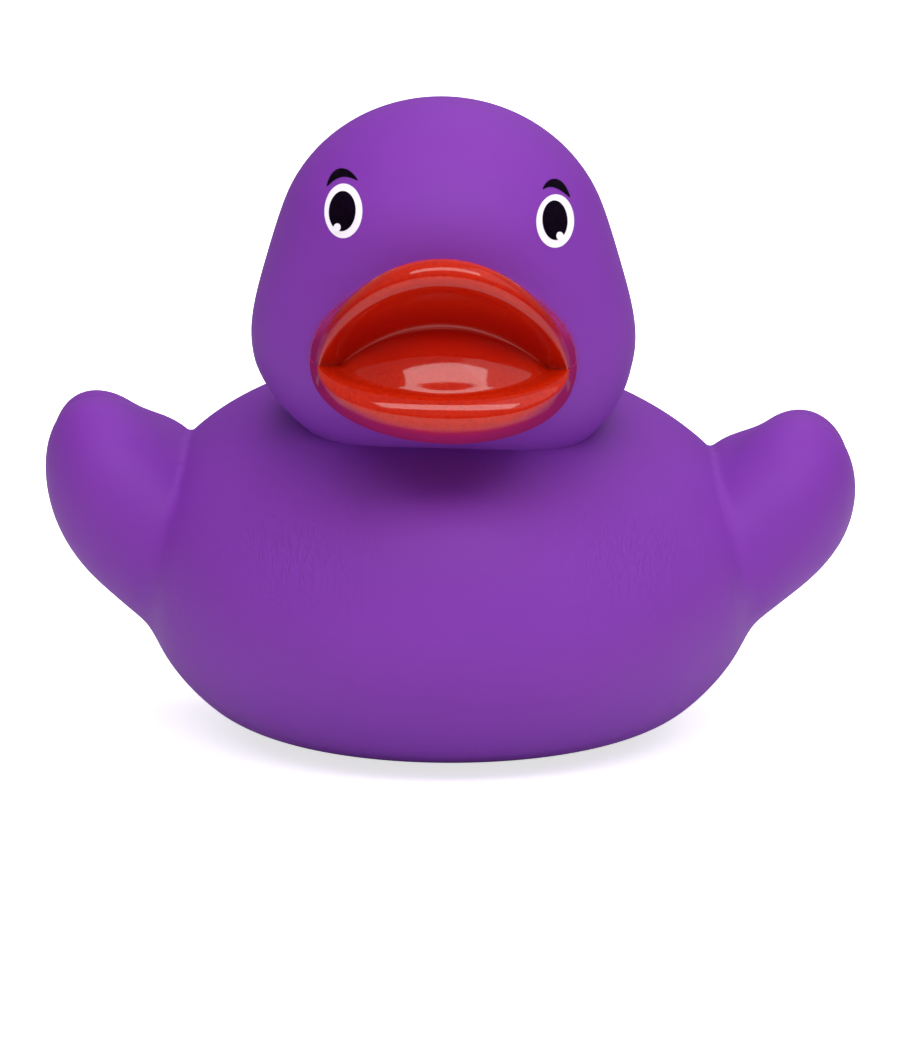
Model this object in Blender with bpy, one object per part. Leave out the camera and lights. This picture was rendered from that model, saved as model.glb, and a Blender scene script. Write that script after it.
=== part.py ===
"""Rubber duck: one hollow vinyl moulding with an open beak, and the squeaker pressed into its base.

The duck faces -Y and stands on z = 0. Its skin is a blend of ellipsoid lobes, with the beak joined on.
Lobes are given for the +X side and repeat on the other side.
"""

import math

import bmesh
import bpy
import numpy as np
from mathutils import Matrix, Vector

MM = 0.001

# Hull: an ellipsoid cut flat at the base
HULL_HALF_WIDTH = 33.3 * MM
HULL_HALF_LENGTH = 36.7 * MM
HULL_WAIST_HEIGHT = 17.1 * MM
HULL_DRAUGHT = 21.5 * MM
HULL_BACK = 3.9 * MM
BASE_ROUNDING = 4.0 * MM

# Shoulders, which rise behind the head
SHOULDER_HALF_WIDTH = 32.75 * MM
SHOULDER_HALF_LENGTH = 27.0 * MM
SHOULDER_RISE = 20.15 * MM
SHOULDER_HEIGHT = 20.25 * MM
SHOULDER_BACK = 7.0 * MM

# Breast, which fills the hollow under the beak
BREAST_HALF_WIDTH = 20.0 * MM
BREAST_HALF_LENGTH = 26.0 * MM
BREAST_RISE = 16.5 * MM
BREAST_HEIGHT = 22.0 * MM
BREAST_FORWARD = 5.0 * MM

# Head: a skull over full cheeks
HEAD_FORWARD = 9.0 * MM
SKULL_HALF_WIDTH = 17.7 * MM
SKULL_HALF_LENGTH = 17.5 * MM
SKULL_RISE = 16.5 * MM
SKULL_HEIGHT = 53.7 * MM
CHEEK_HALF_WIDTH = 20.25 * MM
CHEEK_HALF_LENGTH = 16.5 * MM
CHEEK_RISE = 15.35 * MM
CHEEK_HEIGHT = 45.2 * MM

# Wings: feathers that overlap, sized as shares of the longest one
WING_LENGTH = 34.0 * MM
WING_THICKNESS = 13.0 * MM
WING_DEPTH = 17.4 * MM
WING_HEIGHT = 25.2 * MM
WING_BACK = 12.0 * MM
WING_OUT = 3.1 * MM
WING_SPREAD = math.radians(14.0)
WING_LIFT = math.radians(8.0)
WING_ROLL = math.radians(10.0)

# Tail
TAIL_LENGTH = 34.0 * MM
TAIL_WIDTH = 24.0 * MM
TAIL_THICKNESS = 11.0 * MM
TAIL_HEIGHT = 23.0 * MM
TAIL_BURIED = 6.0 * MM
TAIL_LIFT = math.radians(36.0)

# Beak, with its lips open. Rises and drops are from the height of the mouth's corners
BEAK_HALF_WIDTH = 13.9 * MM
ROLL_HALF_WIDTH = 13.2 * MM
LIP_HALF_WIDTH = 12.6 * MM
MOUTH_HALF_WIDTH = 10.8 * MM
BEAK_HEIGHT = 44.5 * MM
UPPER_LIP_RISE = 12.3 * MM
LIP_RADIUS = 1.8 * MM
CREASE_RISE = 4.3 * MM
LOWER_LIP_DROP = 1.8 * MM
BEAK_DROP = 8.3 * MM
BEAK_REACH = 11.7 * MM
BEAK_BURIED = 8.5 * MM
CORNER_BACK = 5.0 * MM
PALATE_DEPTH = 7.0 * MM
BEAK_SECTIONS = 14
CORNER_LINE = 20  # the line of the profile on which the corners lie: the front of the lower lip

# How crisply the forms meet
NECK_REACH = 1.2 * MM
CHEEK_REACH = 4.0 * MM
SHOULDER_REACH = 4.0 * MM
BREAST_REACH = 3.0 * MM
TAIL_REACH = 7.0 * MM
WING_REACH = 1.2 * MM
BLADE_REACH = 6.0 * MM
LONG_FEATHER_REACH = 3.0 * MM
TRAILING_FEATHER_REACH = 2.0 * MM
SHOULDER_FEATHER_REACH = 0.8 * MM

# A vinyl moulding settles a little: its right side lies lower, and its head stands off the centre line
LEAN = 0.031
HEAD_LEAN = 0.014
HEAD_SHIFT = 0.75 * MM
LEAN_STARTS = 10.0 * MM
LEAN_ENDS = 32.0 * MM

# Wall, and the squeaker in the base
WALL = 2.0 * MM
BASE_WALL = 2.6 * MM
FIT_GAP = 0.3 * MM
CUTTER_EXTRA = 1.0 * MM
PLUG_RADIUS = 4.2 * MM
FLANGE_RADIUS = 6.8 * MM
FLANGE_THICKNESS = 0.8 * MM
BARB_OVERHANG = 0.8 * MM
BARB_LENGTH = 3.0 * MM
AIR_HOLE_RADIUS = 0.9 * MM

# How finely the skin is drawn. EASING is how far points move towards their neighbours' mean before each step
OUTER_GRAIN = 0.9 * MM
INNER_GRAIN = 1.8 * MM
OUTER_FACES = 5600
INNER_FACES = 1600
FLATNESS = 0.15 * MM
EASING = (0.0, 0.6, 0.6, 0.5, 0.5, 0.4, 0.4, 0.3, 0.2, 0.0, 0.0)
ROUND_SEGMENTS = 32


def clear_scene():
    for item in list(bpy.data.objects):
        bpy.data.objects.remove(item, do_unlink=True)


def vinyl(name, colour, roughness):
    material = bpy.data.materials.new(name)
    material.use_nodes = True
    shader = material.node_tree.nodes["Principled BSDF"]
    shader.inputs["Base Color"].default_value = (*colour, 1.0)
    shader.inputs["Roughness"].default_value = roughness
    material.diffuse_color = (*colour, 1.0)
    return material


def axes_along(spread, lift, roll):
    """Axes of a lobe whose length points backwards, turned outwards by spread, up by lift and over by roll."""
    length = Vector((math.sin(spread) * math.cos(lift), math.cos(spread) * math.cos(lift), math.sin(lift)))
    upright = (Vector((0, 0, 1)) - length * length.z).normalized()
    upright.rotate(Matrix.Rotation(roll, 3, length))
    thickness = length.cross(upright)
    return Matrix((length, thickness, upright)).transposed()


def feather(out, back, up, length=1.0, thickness=1.0, depth=1.0, roll=0.0):
    """One feather of the wing, placed from the longest one's middle and sized as shares of it."""
    centre = Vector((HULL_HALF_WIDTH + WING_OUT + out, WING_BACK + back, WING_HEIGHT + up))
    radii = Vector((WING_LENGTH * length, WING_THICKNESS * thickness, WING_DEPTH * depth)) / 2
    return centre, radii, axes_along(WING_SPREAD, WING_LIFT, WING_ROLL + math.radians(roll))


def wing_lobes():
    """The feathers, each with the reach of the fillet that joins it to those before it."""
    return (
        (feather(0.6 * MM, -8.1 * MM, 1.3 * MM, 0.56, 0.99, 1.02), None),
        (feather(-4.9 * MM, -9.0 * MM, -2.7 * MM, 0.65, 0.93, 0.88), BLADE_REACH),
        (feather(-6.8 * MM, -9.5 * MM, -8.9 * MM, 0.62, 0.66, 0.87, 20.0), BLADE_REACH),
        (feather(0.0, 0.0, 0.0), LONG_FEATHER_REACH),
        (feather(-1.9 * MM, 6.0 * MM, -5.5 * MM, 0.69, 0.84, 0.73), TRAILING_FEATHER_REACH),
        (feather(-5.5 * MM, -3.1 * MM, -1.2 * MM, 0.88, 0.98, 0.95, 6.0), SHOULDER_FEATHER_REACH),
    )


def upright_lobe(back, height, half_width, half_length, rise):
    return Vector((0, back, height)), Vector((half_width, half_length, rise)), Matrix.Identity(3)


def hull_lobe():
    return upright_lobe(HULL_BACK, HULL_WAIST_HEIGHT, HULL_HALF_WIDTH, HULL_HALF_LENGTH, HULL_DRAUGHT)


def shoulder_lobe():
    return upright_lobe(
        SHOULDER_BACK, SHOULDER_HEIGHT, SHOULDER_HALF_WIDTH, SHOULDER_HALF_LENGTH, SHOULDER_RISE
    )


def breast_lobe():
    return upright_lobe(-BREAST_FORWARD, BREAST_HEIGHT, BREAST_HALF_WIDTH, BREAST_HALF_LENGTH, BREAST_RISE)


def skull_lobe():
    return upright_lobe(-HEAD_FORWARD, SKULL_HEIGHT, SKULL_HALF_WIDTH, SKULL_HALF_LENGTH, SKULL_RISE)


def cheek_lobe():
    return upright_lobe(-HEAD_FORWARD, CHEEK_HEIGHT, CHEEK_HALF_WIDTH, CHEEK_HALF_LENGTH, CHEEK_RISE)


def tail_lobe():
    back = HULL_BACK + HULL_HALF_LENGTH - TAIL_BURIED
    radii = Vector((TAIL_LENGTH, TAIL_WIDTH, TAIL_THICKNESS)) / 2
    return Vector((0, back, TAIL_HEIGHT)), radii, axes_along(0.0, TAIL_LIFT, 0.0)


def distance_to(points, lobe):
    """Distance of each point to a lobe's skin, to first order, and the direction that leads away from it."""
    centre, radii, turn = lobe
    axes = np.array(turn)
    scaled = (points - np.array(centre)) @ axes / np.array(radii)
    size = np.maximum(np.linalg.norm(scaled, axis=1), 1e-6)
    slope = scaled / np.array(radii)
    steepness = np.maximum(np.linalg.norm(slope, axis=1), 1e-6)
    return size * (size - 1) / steepness, slope / steepness[:, None] @ axes.T


def joined(first, second, reach):
    """Two forms run together, with a fillet about as wide as reach."""
    share = np.clip(0.5 + 0.5 * (second[0] - first[0]) / reach, 0, 1)
    distance = first[0] * share + second[0] * (1 - share) - reach * share * (1 - share)
    return distance, first[1] * share[:, None] + second[1] * (1 - share)[:, None]


def cut(first, second, reach):
    """The first form with the second one taken out of it."""
    distance, direction = joined((-first[0], -first[1]), second, reach)
    return -distance, -direction


def duck_form(points, inset, floor):
    """The skin without its beak, moved inwards by inset and cut flat at floor."""
    side = np.where(points[:, 0] < 0, -1.0, 1.0)
    mirrored = points * np.stack([side, np.ones_like(side), np.ones_like(side)], axis=1)
    body = joined(distance_to(mirrored, hull_lobe()), distance_to(mirrored, shoulder_lobe()), SHOULDER_REACH)
    body = joined(body, distance_to(mirrored, breast_lobe()), BREAST_REACH)
    body = joined(body, distance_to(mirrored, tail_lobe()), TAIL_REACH)
    head = joined(distance_to(mirrored, skull_lobe()), distance_to(mirrored, cheek_lobe()), CHEEK_REACH)
    wing = distance_to(mirrored, wing_lobes()[0][0])
    for lobe, reach in wing_lobes()[1:]:
        wing = joined(wing, distance_to(mirrored, lobe), reach)
    whole = joined(joined(body, wing, WING_REACH), head, NECK_REACH)
    distance, direction = whole[0] + inset, whole[1].copy()
    direction[:, 0] *= side
    upwards = np.tile([0.0, 0.0, 1.0], (len(points), 1))
    return cut((distance, direction), (points[:, 2] - floor, upwards), BASE_ROUNDING)


def settled(points):
    """Points of the true mirror shape, moved to where the settled moulding has them."""
    rise = np.clip((points[:, 2] - LEAN_STARTS) / (LEAN_ENDS - LEAN_STARTS), 0, 1)
    rise = rise * rise * (3 - 2 * rise)
    top = np.clip((points[:, 2] - LEAN_ENDS) / LEAN_STARTS, 0, 1)
    moved = points.copy()
    moved[:, 2] -= (LEAN + (HEAD_LEAN - LEAN) * top) * points[:, 0] * rise
    moved[:, 0] -= HEAD_SHIFT * top
    return moved


def mesh_points(mesh):
    points = np.empty(len(mesh.vertices) * 3)
    mesh.vertices.foreach_get("co", points)
    return points.reshape(-1, 3)


def set_points(mesh, points):
    mesh.vertices.foreach_set("co", points.ravel())
    mesh.update()


def neighbour_means(mesh, points):
    """For each point, the mean of those that an edge joins it to."""
    ends = np.empty(len(mesh.edges) * 2, np.int32)
    mesh.edges.foreach_get("vertices", ends)
    ends = np.concatenate([ends.reshape(-1, 2), ends.reshape(-1, 2)[:, ::-1]])
    sums = np.stack([np.bincount(ends[:, 0], points[ends[:, 1], axis], len(points)) for axis in range(3)], axis=1)
    return sums / np.bincount(ends[:, 0], minlength=len(points))[:, None]


def new_object(name, mesh, material):
    item = bpy.data.objects.new(name, mesh)
    bpy.context.scene.collection.objects.link(item)
    if material:
        mesh.materials.append(material)
    return item


def baked(item):
    """The object's mesh with its modifiers applied, in place of the old one."""
    bpy.context.view_layer.update()
    graph = bpy.context.evaluated_depsgraph_get()
    mesh = bpy.data.meshes.new_from_object(item.evaluated_get(graph))
    item.modifiers.clear()
    item.data = mesh
    return mesh


def skin(name, inset, floor, grain, faces, material):
    """A closed skin: spheres for the lobes, remeshed as one, drawn onto the form and thinned out."""
    shape = bmesh.new()
    mirror = Matrix.Diagonal((-1, 1, 1, 1))
    middle = [hull_lobe(), shoulder_lobe(), breast_lobe(), skull_lobe(), cheek_lobe(), tail_lobe()]
    for centre, radii, turn in middle + [lobe for lobe, reach in wing_lobes()]:
        size = Matrix.Diagonal((*(radius - inset for radius in radii), 1))
        place = Matrix.Translation(centre) @ turn.to_4x4() @ size
        for side in (Matrix.Identity(4), mirror)[: 2 if centre.x else 1]:
            bmesh.ops.create_icosphere(shape, subdivisions=4, radius=1, matrix=side @ place)
    bmesh.ops.recalc_face_normals(shape, faces=shape.faces)
    mesh = bpy.data.meshes.new(name)
    shape.to_mesh(mesh)
    shape.free()
    item = new_object(name, mesh, material)
    remesh = item.modifiers.new("One skin", "REMESH")
    remesh.mode = "VOXEL"
    remesh.voxel_size = grain
    mesh = baked(item)
    points = mesh_points(mesh)
    for share in EASING:
        points += (neighbour_means(mesh, points) - points) * share
        distance, direction = duck_form(points, inset, floor)
        length = np.maximum(np.linalg.norm(direction, axis=1), 0.5)
        points -= (distance / length**2)[:, None] * direction
    set_points(mesh, points)
    thin = item.modifiers.new("Fewer faces", "DECIMATE")
    thin.ratio = faces / (2 * len(mesh.polygons))
    mesh = baked(item)
    points = settled(mesh_points(mesh))
    points[points[:, 2] < floor + FLATNESS, 2] = floor
    set_points(mesh, points)
    return item


def beak_profile():
    """Points round the beak's middle section, as (forward, up, half-width, corner, roundness), from the top."""
    face = HEAD_FORWARD + CHEEK_HALF_LENGTH
    tip = face + BEAK_REACH
    root, roll, lip, mouth = BEAK_HALF_WIDTH, ROLL_HALF_WIDTH, LIP_HALF_WIDTH, MOUTH_HALF_WIDTH
    top, low = UPPER_LIP_RISE, -LOWER_LIP_DROP
    radius, middle = LIP_RADIUS, UPPER_LIP_RISE - LIP_RADIUS
    crease, inner = tip - PALATE_DEPTH, face + 2.0 * MM
    inside, root_corner, lip_corner = face - BEAK_BURIED, face - CORNER_BACK, face + 2.6 * MM
    return (
        (inside, top - 5.2 * MM, root - 1.5 * MM, inside, 1.67),
        (face - 1.5 * MM, top - 3.2 * MM, root, root_corner, 1.82),
        (face + 4.0 * MM, top - 2.2 * MM, root - 0.3 * MM, face - 2.5 * MM, 1.74),
        (tip - 4.4 * MM, middle + 0.72 * radius, roll + 0.1 * MM, face + 0.3 * MM, 1.64),
        (tip - 2.6 * MM, top, roll - 0.1 * MM, face + 1.6 * MM, 1.6),
        (tip - 1.25 * MM, middle + 0.7 * radius, lip + 0.2 * MM, lip_corner, 1.6),
        (tip - 0.8 * MM, middle, lip, lip_corner + 0.2 * MM, 1.53),
        (tip - 1.2 * MM, middle - 0.62 * radius, lip - 0.2 * MM, lip_corner, 1.46),
        (tip - 2.5 * MM, middle - 1.05 * radius, mouth + 0.6 * MM, inner + 0.4 * MM, 1.4),
        (tip - 5 * MM, CREASE_RISE + 2.6 * MM, mouth + 0.2 * MM, inner + 0.3 * MM, 1.25),
        (crease, CREASE_RISE + 0.6 * MM, mouth - 0.2 * MM, inner + 0.2 * MM, 1.1),
        (crease, CREASE_RISE, mouth - 0.2 * MM, inner + 0.2 * MM, 1.08),
        (crease + 0.6 * MM, CREASE_RISE - 0.4 * MM, mouth - 0.2 * MM, inner + 0.2 * MM, 1.08),
        (crease + 1.7 * MM, CREASE_RISE - 1.3 * MM, mouth - 0.2 * MM, inner + 0.2 * MM, 1.12),
        (crease + 3.1 * MM, CREASE_RISE - 2.9 * MM, mouth - 0.1 * MM, inner + 0.2 * MM, 1.16),
        (crease + 4.1 * MM, CREASE_RISE - 4.6 * MM, mouth - 0.1 * MM, inner + 0.3 * MM, 1.2),
        (tip - 2.5 * MM, low + 0.4 * MM, mouth, inner + 0.3 * MM, 1.25),
        (tip - 2.2 * MM, low - 0.15 * MM, mouth + 0.2 * MM, inner + 0.4 * MM, 1.27),
        (tip - 1.5 * MM, low + 0.05 * MM, lip - 0.7 * MM, lip_corner, 1.45),
        (tip - 0.65 * MM, low - 0.5 * MM, lip - 0.2 * MM, lip_corner + 0.1 * MM, 1.67),
        (tip - 0.1 * MM, low - 1.55 * MM, lip + 0.1 * MM, lip_corner + 0.2 * MM, 1.92),
        (tip, low - 2.45 * MM, lip + 0.3 * MM, lip_corner, 2.1),
        (tip - 0.4 * MM, low - 3.4 * MM, roll - 0.2 * MM, face + 1.6 * MM, 2.2),
        (tip - 1.8 * MM, low - 4.5 * MM, roll + 0.2 * MM, face - 0.8 * MM, 2.4),
        (face + 6 * MM, 0.9 * MM - BEAK_DROP, root - 0.1 * MM, face - 3.2 * MM, 2.4),
        (face + 1 * MM, -BEAK_DROP, root, root_corner, 2.4),
        (inside, 2.4 * MM - BEAK_DROP, root - 1.5 * MM, inside, 2),
    )


def beak(material):
    """A sphere with its poles at the corners of the mouth, whose sections are the beak's profile."""
    profile = beak_profile()
    around = len(profile)
    shape = bmesh.new()
    bmesh.ops.create_uvsphere(shape, u_segments=around, v_segments=BEAK_SECTIONS, radius=1)
    for vertex in shape.verts:
        across = max(-1.0, min(1.0, vertex.co.z))
        turn = math.atan2(vertex.co.y, vertex.co.x) / (2 * math.pi)
        at_pole = Vector(vertex.co.xy).length < 1e-4
        forward, up, half_width, corner, roundness = profile[CORNER_LINE if at_pole else round(turn * around) % around]
        fullness = (1 - across**2) ** (1 / roundness)
        vertex.co = (
            across * half_width,
            -(corner + (forward - corner) * fullness),
            BEAK_HEIGHT + up * fullness,
        )
    bmesh.ops.recalc_face_normals(shape, faces=shape.faces)
    mesh = bpy.data.meshes.new("beak")
    shape.to_mesh(mesh)
    shape.free()
    item = new_object("beak", mesh, material)
    rounded = item.modifiers.new("Rounded", "SUBSURF")
    rounded.levels = rounded.render_levels = 1
    mesh = baked(item)
    set_points(mesh, settled(mesh_points(mesh)))
    return item


def turned(name, outline, material):
    """A solid turned about Z from (radius, height) points that run up its outside."""
    shape = bmesh.new()
    corners = [shape.verts.new((radius, 0, height)) for radius, height in outline]
    edges = [shape.edges.new(pair) for pair in zip(corners, corners[1:] + corners[:1])]
    bmesh.ops.spin(
        shape,
        geom=corners + edges,
        cent=(0, 0, 0),
        axis=(0, 0, 1),
        angle=2 * math.pi,
        steps=ROUND_SEGMENTS,
        use_merge=True,
    )
    bmesh.ops.remove_doubles(shape, verts=shape.verts, dist=1e-5)
    bmesh.ops.recalc_face_normals(shape, faces=shape.faces)
    mesh = bpy.data.meshes.new(name)
    shape.to_mesh(mesh)
    shape.free()
    return new_object(name, mesh, material)


def vent_cutter():
    """The stepped hole in the base: a seat for the squeaker's flange, and a bore through the wall."""
    bore = PLUG_RADIUS + FIT_GAP
    seat = FLANGE_RADIUS + FIT_GAP
    seat_height = FLANGE_THICKNESS + 2 * FIT_GAP
    foot, top = -CUTTER_EXTRA, BASE_WALL + CUTTER_EXTRA
    outline = ((0, foot), (seat, foot), (seat, seat_height), (bore, seat_height), (bore, top), (0, top))
    return turned("vent_cutter", outline, None)


def squeaker(material):
    """The plug, with its flange set in from the table and a barb inside the wall."""
    flange_top = FIT_GAP + FLANGE_THICKNESS
    barb_foot = BASE_WALL + FIT_GAP
    outline = (
        (AIR_HOLE_RADIUS, FIT_GAP),
        (FLANGE_RADIUS, FIT_GAP),
        (FLANGE_RADIUS, flange_top),
        (PLUG_RADIUS, flange_top),
        (PLUG_RADIUS, barb_foot),
        (PLUG_RADIUS + BARB_OVERHANG, barb_foot),
        (PLUG_RADIUS - BARB_OVERHANG, barb_foot + BARB_LENGTH),
        (AIR_HOLE_RADIUS, barb_foot + BARB_LENGTH),
    )
    return turned("squeaker", outline, material)


def boolean(item, other, operation):
    change = item.modifiers.new(other.name, "BOOLEAN")
    change.object = other
    change.operation = operation
    baked(item)
    bpy.data.objects.remove(other, do_unlink=True)


def stand_centred(items, measured):
    """Moves the duck so that its origin is at the middle of its box, on the base."""
    points = mesh_points(measured.data)
    low, high = points.min(axis=0), points.max(axis=0)
    for item in items:
        set_points(item.data, mesh_points(item.data) - [(low[0] + high[0]) / 2, (low[1] + high[1]) / 2, 0])


def main():
    clear_scene()
    purple = vinyl("soft_vinyl", (0.234, 0.062, 0.423), 0.45)
    red = vinyl("beak_paint", (0.58, 0.03, 0.01), 0.15)
    plastic = vinyl("squeaker_plastic", (0.8, 0.8, 0.78), 0.35)
    duck = skin("duck_shell", 0.0, 0.0, OUTER_GRAIN, OUTER_FACES, purple)
    boolean(duck, beak(red), "UNION")
    hollow = skin("hollow", WALL, BASE_WALL, INNER_GRAIN, INNER_FACES, purple)
    boolean(duck, hollow, "DIFFERENCE")
    boolean(duck, vent_cutter(), "DIFFERENCE")
    plug = squeaker(plastic)
    stand_centred((duck, plug), duck)
    for item in (duck, plug):
        item.data.shade_smooth()
        item.data.set_sharp_from_angle(angle=math.radians(35))


main()
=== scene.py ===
import math

import bmesh
import bpy
import numpy as np
from mathutils import Matrix, Vector
from mathutils.bvhtree import BVHTree
from mathutils.kdtree import KDTree


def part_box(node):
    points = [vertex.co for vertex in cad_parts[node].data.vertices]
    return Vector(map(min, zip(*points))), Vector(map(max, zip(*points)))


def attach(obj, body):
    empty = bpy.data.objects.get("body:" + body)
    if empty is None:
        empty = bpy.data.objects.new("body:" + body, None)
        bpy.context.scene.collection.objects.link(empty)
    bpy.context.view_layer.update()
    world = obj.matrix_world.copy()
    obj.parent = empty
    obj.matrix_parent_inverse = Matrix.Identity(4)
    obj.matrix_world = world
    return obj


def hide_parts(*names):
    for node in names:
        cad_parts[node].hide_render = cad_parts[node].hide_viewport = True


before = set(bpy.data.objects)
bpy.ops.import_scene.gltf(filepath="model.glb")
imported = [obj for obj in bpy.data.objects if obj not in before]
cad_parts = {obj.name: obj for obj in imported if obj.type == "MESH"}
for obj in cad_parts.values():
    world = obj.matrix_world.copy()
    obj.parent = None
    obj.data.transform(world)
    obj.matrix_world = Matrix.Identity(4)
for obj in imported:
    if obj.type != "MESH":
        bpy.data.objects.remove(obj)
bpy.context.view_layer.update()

mm = 0.001
plugLow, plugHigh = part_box("squeaker")
# The shapes below are given from the squeaker's axis, which stands behind the middle of the duck's box
axisPlace = Vector(((plugLow.x + plugHigh.x) / 2, (plugLow.y + plugHigh.y) / 2, 0))


def linearColour(hexText, alpha=1.0):
    channels = [int(hexText[i:i + 2], 16) / 255 for i in (1, 3, 5)]
    return tuple(c / 12.92 if c <= 0.04045 else ((c + 0.055) / 1.055) ** 2.4 for c in channels) + (alpha,)


def setUp(tree, node, settings=None, links=None):
    # settings are the node's own or its sockets' values, and links lead to its sockets from other nodes' outputs
    for key, value in (settings or {}).items():
        if isinstance(key, str) and hasattr(node, key):
            setattr(node, key, value)
        else:
            node.inputs[key].default_value = value
    for key, output in (links or {}).items():
        tree.links.new(output, node.inputs[key])
    return node


def addNode(tree, kind, settings=None, links=None):
    return setUp(tree, tree.nodes.new(kind), settings, links)


def startMaterial(name):
    material = bpy.data.materials.new(name)
    material.use_nodes = True
    tree = material.node_tree
    return material, tree, tree.nodes["Principled BSDF"]


def newObject(name, mesh, *materials):
    item = bpy.data.objects.new(name, mesh)
    bpy.context.scene.collection.objects.link(item)
    for material in materials:
        mesh.materials.append(material)
    return item


def finished(item):
    # the object's mesh with its modifiers applied
    bpy.context.view_layer.update()
    graph = bpy.context.evaluated_depsgraph_get()
    mesh = bpy.data.meshes.new_from_object(item.evaluated_get(graph))
    item.modifiers.clear()
    item.data = mesh
    return mesh


def meshFrom(shape, name):
    mesh = bpy.data.meshes.new(name)
    shape.to_mesh(mesh)
    shape.free()
    return mesh


def pointsOf(mesh):
    points = np.empty(len(mesh.vertices) * 3)
    mesh.vertices.foreach_get("co", points)
    return points.reshape(-1, 3)


def placePoints(mesh, points):
    mesh.vertices.foreach_set("co", np.ascontiguousarray(points).ravel())
    mesh.update()


def shadeSmooth(mesh, sharpFrom):
    mesh.shade_smooth()
    mesh.set_sharp_from_angle(angle=math.radians(sharpFrom))


def neighbourMeans(mesh, values):
    # for each point, the mean of the values at the points that an edge joins it to
    ends = np.empty(len(mesh.edges) * 2, np.int32)
    mesh.edges.foreach_get("vertices", ends)
    ends = np.concatenate([ends.reshape(-1, 2), ends.reshape(-1, 2)[:, ::-1]])
    count = np.maximum(np.bincount(ends[:, 0], minlength=len(values)), 1)
    sums = [np.bincount(ends[:, 0], values[ends[:, 1], i], len(values)) for i in range(values.shape[1])]
    return np.stack(sums, axis=1) / count[:, None]


def smoothStep(values):
    return values * values * (3 - 2 * values)


print("materials")

vinylLook = {
    "base": "#782da1",
    "shade": "#772ca0",
    "light": "#792ea2",
    "toneEnds": (0.35, 0.65),
    "gloss": 0.34,
    "roughness": 0.64,
    "grainSize": 0.22 * mm,     # the matt texture of a cast vinyl mould, drawn coarse enough to show
    "grainDepth": 0.04 * mm,
    "cloudSize": 9.0 * mm,      # slow changes of tone where the wall is thicker
    "strokeWidth": 0.34 * mm,   # short feather strokes, worn faint in the mould
    "strokeLength": 1.5 * mm,
    "strokeDepth": 0.09 * mm,
    "oversprayRed": "#8f2060",
}


def softVinyl():
    # Plasticised PVC, rotationally cast: an even satin skin with a fine matt grain and soft wide highlights
    look = vinylLook
    material, tree, shader = startMaterial("castSatinVinyl")
    place = addNode(tree, "ShaderNodeTexCoord").outputs["Object"]
    cloud = addNode(tree, "ShaderNodeTexNoise", {"Scale": 1 / look["cloudSize"], "Detail": 2.0}, {"Vector": place})
    tone = addNode(tree, "ShaderNodeValToRGB", {}, {"Fac": cloud.outputs["Fac"]})
    for stop, position, colour in zip(tone.color_ramp.elements, look["toneEnds"], (look["shade"], look["light"])):
        stop.position, stop.color = position, linearColour(colour)
    spray = addNode(tree, "ShaderNodeAttribute", {"attribute_name": "sprayCover"})
    tint = addNode(tree, "ShaderNodeMix", {"data_type": "RGBA", "B": linearColour(look["oversprayRed"])},
                   {"Factor": spray.outputs["Fac"], "A": tone.outputs["Color"]})
    matt = addNode(tree, "ShaderNodeMapRange",
                   {"From Min": 0.3, "From Max": 0.7,
                    "To Min": look["roughness"] - 0.03, "To Max": look["roughness"] + 0.05},
                   {"Value": cloud.outputs["Fac"]})
    grain = addNode(tree, "ShaderNodeTexNoise", {"Scale": 1 / look["grainSize"], "Detail": 1.0}, {"Vector": place})
    fine = addNode(tree, "ShaderNodeBump", {"Strength": 0.12, "Distance": look["grainDepth"]},
                   {"Height": grain.outputs["Fac"]})
    # noise drawn out along the stroke is cut to a few thin marks, and strokeField says where they lie
    narrow, long = 1 / look["strokeWidth"], 1 / look["strokeLength"]
    run = addNode(tree, "ShaderNodeMapping", {"Scale": (narrow, narrow / 4, long)}, {"Vector": place})
    stroke = addNode(tree, "ShaderNodeTexNoise", {"Scale": 1.0, "Detail": 0.0, "Distortion": 0.9},
                     {"Vector": run.outputs["Vector"]})
    cut = addNode(tree, "ShaderNodeMapRange", {"From Min": 0.5, "From Max": 0.62}, {"Value": stroke.outputs["Fac"]})
    field = addNode(tree, "ShaderNodeAttribute", {"attribute_name": "strokeField"})
    depth = addNode(tree, "ShaderNodeMath", {"operation": "MULTIPLY"},
                    {0: cut.outputs["Result"], 1: field.outputs["Fac"]})
    engraved = addNode(tree, "ShaderNodeBump", {"Strength": 0.75, "Distance": look["strokeDepth"], "invert": True},
                       {"Height": depth.outputs["Value"], "Normal": fine.outputs["Normal"]})
    setUp(tree, shader, {"Specular IOR Level": look["gloss"]},
          {"Base Color": tint.outputs["Result"], "Roughness": matt.outputs["Result"],
           "Normal": engraved.outputs["Normal"]})
    return material


paintLook = {
    "red": "#bb1e02",
    "deepRed": "#aa1502",
    "toneEnds": (0.3, 0.55),
    "paintedShadeRed": "#a00e03",        # painted shade: a darker red laid in the back of the mouth and under what hangs over
    "thin": "#8c1c55",          # thin paint over purple vinyl
    "roughness": 0.3,
    "coatRoughness": 0.075,
    "coatIor": 1.46,
    "thinGloss": 0.1,
    "dropletSize": 0.45 * mm,   # spray droplets that dried into the film
    "dropletHeight": 0.03 * mm,
}


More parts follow.
